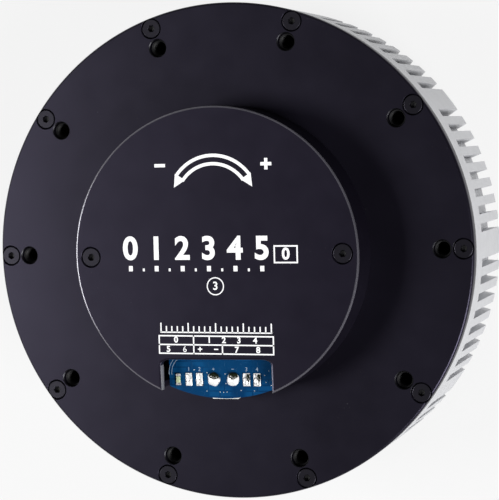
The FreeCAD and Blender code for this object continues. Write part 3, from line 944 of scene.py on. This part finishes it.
def make_wire_ends():
    """Ends of the two power pins, which stand out of the dark drops."""
    end = ((0.36, 1.0), (0.36, 0.08), (0.28, 0.0))      # radius and depth under the top
    wires = [turned(end, x + 0.25, TERMINAL_Y + 0.6, Z_BOARD + 1.2, 20) for x in TERMINAL_X]
    place(joined(wires), "power_wire_ends", "wire_end", "base", 40)


def make_pads():
    (_, low, _), (_, high, top) = span("signal_pads")
    parts = []
    for k, (x, width, (shift_x, shift_y, share_x, share_y, height)) in enumerate(SIGNAL_PADS):
        parts.append(block(x - width / 2, x + width / 2, low, high, Z_BOARD, top, 0.12))
        parts.append(drop(x + shift_x, (low + high) / 2 + shift_y, width * share_x, (high - low) * share_y,
                          top - 0.06, height, 20 + k))
    piece = place(joined(parts), "signal_pad_tin", "pad", "base", 60)
    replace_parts(piece, "signal_pads")


def pin_mesh(x, y0, y1, z):
    """Round pin along Y with a chamfered tip at y0."""
    tip = 0.6 * PIN_R
    mesh = lathe([(tip, y0), (PIN_R, y0 + tip), (PIN_R, y1)], 20, closed=False)
    mesh.transform(Matrix.Translation((x, 0, z)) @ Matrix.Rotation(math.radians(-90), 4, "X"))
    return mesh


def make_connectors():
    """Moulded shells under the board with rounded edges, an open front and two pins in each."""
    pins = []
    for name, node, shells in (("power_connector_shell", "power_connector", [POWER_SHELL]),
                               ("signal_connector_shells", "signal_connectors", SIGNAL_SHELLS)):
        parts = []
        for x0, x1, front, back, z0, z1 in shells:
            hollow = block(x0 + SHELL_WALL, x1 - SHELL_WALL, front - 1, back - SHELL_BACK,
                           z0 + SHELL_WALL, z1 - SHELL_WALL, 0.15)
            parts.append(cut(block(x0, x1, front, back, z0, z1, 0.18, 3), [hollow]))
            for share in (0.3, 0.7):
                pins.append(pin_mesh(x0 + share * (x1 - x0), front + PIN_MOUTH, back - SHELL_BACK + 0.1,
                                     (z0 + z1) / 2))
        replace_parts(place(joined(parts), name, "nylon", "base"), node)
    place(joined(pins), "connector_pins", "pin", "base")


def make_led():
    """Lens of the status light between its two tinned ends."""
    (x0, y0, z0), (x1, y1, z1) = span("status_led")
    end, end_height, lap, inset = 0.68, 0.42, 0.06, 0.08
    lens = block(x0 + inset, x1 - inset, y0 + end - lap, y1 - end + lap, z0, z1, 0.12, 3)
    piece = place(lens, "status_led_lens", "lens", "base")
    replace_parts(piece, "status_led")
    ends = [block(x0, x1, y, y + end, z0, z0 + end_height) for y in (y0, y1 - end)]
    place(joined(ends), "status_led_ends", "pad", "base")


def make_board_marks():
    """Printed arcs and figures on the board, and its plated holes."""
    z = Z_BOARD + PRINT
    x, y, radii, line = -9.3, -29.0, (4.25, 4.95), 0.13
    parts = [arc_print(x, y, r, line, 118, 186, z, 24) for r in radii]
    parts += [figure(text, x, -28.1, 1.0, z) for text, x in BOARD_FIGURES]
    place(joined(parts), "board_marks", "silk", "base")
    inner, outer = VIA_R
    ring = [(outer, z - 0.06), (outer, z), (inner, z), (inner, z - 0.06)]
    vias = [lathe(ring, 14, x, y) for x, y in VIAS]
    place(joined(vias), "board_vias", "pad", "base")


# ---------------------------------------------------------------- bearing on the output side
def make_bearing():
    """Two rings with chamfered edges and the seals between them."""
    bottom = span("output_bearing")[0][2]
    outer, _, top = span("output_bearing")[1]
    inner = BEARING_BORE_R
    e = BEARING_EDGE
    rings = []
    for r0, r1 in ((outer - BEARING_RING, outer), (inner, inner + BEARING_RING)):
        rings.append(lathe([(r0, bottom + e), (r0 + e, bottom), (r1 - e, bottom), (r1, bottom + e),
                            (r1, top - e), (r1 - e, top), (r0 + e, top), (r0, top - e)], 180))
    piece = place(joined(rings), "output_bearing_rings", "bearing", "base")
    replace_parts(piece, "output_bearing")
    low, high = inner + BEARING_RING - SEAL_LAP, outer - BEARING_RING + SEAL_LAP
    seal = ((low, 0.35), (low + 0.7, 0.35), (low + 1.0, 0.2), (high - 1.0, 0.2), (high - 0.7, 0.45),
            (high, 0.45), (high, 1.0), (low, 1.0))      # radius, depth behind the face
    seals = [lathe([(r, face + way * depth) for r, depth in seal], 180)
             for face, way in ((bottom, 1), (top, -1))]
    place(joined(seals), "output_bearing_seals", "seal", "base")


# ---------------------------------------------------------------- camera, light and floor
def make_camera():
    data = bpy.data.cameras.new("camera")
    data.sensor_fit = "HORIZONTAL"
    data.sensor_width = 36.0
    data.lens = LENS
    data.clip_start = 0.01
    data.clip_end = 20
    camera = bpy.data.objects.new("camera", data)
    turn = Matrix((CAMERA_RIGHT, CAMERA_UP, CAMERA_BACK)).transposed().to_4x4()
    x, y, above = CAMERA_AT
    camera.matrix_world = Matrix.Translation(Vector((x, y, above + Z_PLATE)) * MM) @ turn
    bpy.context.scene.collection.objects.link(camera)
    bpy.context.scene.camera = camera


def make_lights():
    for name, place_at, aim, size, power in LAMPS:
        data = bpy.data.lights.new(name, "AREA")
        data.shape = "SQUARE"
        data.size = size
        data.energy = power
        lamp = bpy.data.objects.new(name, data)
        lamp.location = place_at
        lamp.rotation_euler = (Vector(aim) - Vector(place_at)).to_track_quat("-Z", "Y").to_euler()
        bpy.context.scene.collection.objects.link(lamp)


def camera_white(tree, surface, share):
    """Shows a surface as white to the camera and in reflections, keeping a share of its own shading."""
    path = tree.nodes.new("ShaderNodeLightPath")
    seen = path.outputs["Is Camera Ray"]
    for ray in ("Is Glossy Ray", "Is Transmission Ray"):
        either = tree.nodes.new("ShaderNodeMath")
        either.operation = "MAXIMUM"
        tree.links.new(seen, either.inputs[0])
        tree.links.new(path.outputs[ray], either.inputs[1])
        seen = either.outputs[0]
    part = tree.nodes.new("ShaderNodeMath")
    part.operation = "MULTIPLY"
    part.inputs[1].default_value = share
    tree.links.new(seen, part.inputs[0])
    glow = tree.nodes.new("ShaderNodeEmission")
    mix = tree.nodes.new("ShaderNodeMixShader")
    tree.links.new(part.outputs[0], mix.inputs["Fac"])
    tree.links.new(surface, mix.inputs[1])
    tree.links.new(glow.outputs[0], mix.inputs[2])
    return mix.outputs[0]


def floor_paint():
    """Pale floor with a faint grain."""
    paint = bpy.data.materials.new("floor_paint")
    paint.use_nodes = True
    tree = paint.node_tree
    tree.nodes.clear()
    grain = tree.nodes.new("ShaderNodeTexNoise")
    grain.inputs["Scale"].default_value = 30
    tone = tree.nodes.new("ShaderNodeValToRGB")
    for element, grey in zip(tone.color_ramp.elements, FLOOR_GREYS):
        element.color = (grey, grey, grey, 1)
    tree.links.new(grain.outputs["Fac"], tone.inputs["Fac"])
    diffuse = tree.nodes.new("ShaderNodeBsdfDiffuse")
    tree.links.new(tone.outputs["Color"], diffuse.inputs["Color"])
    out = tree.nodes.new("ShaderNodeOutputMaterial")
    tree.links.new(camera_white(tree, diffuse.outputs[0], FLOOR_WHITE), out.inputs["Surface"])
    return paint


def make_floor():
    b = bmesh.new()
    bmesh.ops.create_grid(b, x_segments=1, y_segments=1, size=FLOOR_HALF)
    mesh = mesh_from(b, "floor")
    mesh.materials.append(floor_paint())
    floor = bpy.data.objects.new("floor", mesh)
    floor.location = (0, 0, -FLOOR_GAP)
    bpy.context.scene.collection.objects.link(floor)


def make_world():
    world = bpy.data.worlds.new("studio")
    bpy.context.scene.world = world
    world.use_nodes = True
    background = world.node_tree.nodes["Background"]
    background.inputs["Color"].default_value = (1, 1, 1, 1)
    background.inputs["Strength"].default_value = WORLD_LIGHT


dress_nodes()
make_rear_plate()
make_screws()
make_threads()
make_cap()
make_print()
make_solder()
make_flux()
make_wire_ends()
make_pads()
make_led()
make_connectors()
make_board_marks()
make_bearing()
make_camera()
make_lights()
make_floor()
make_world()
bpy.context.scene.view_settings.view_transform = "Standard"
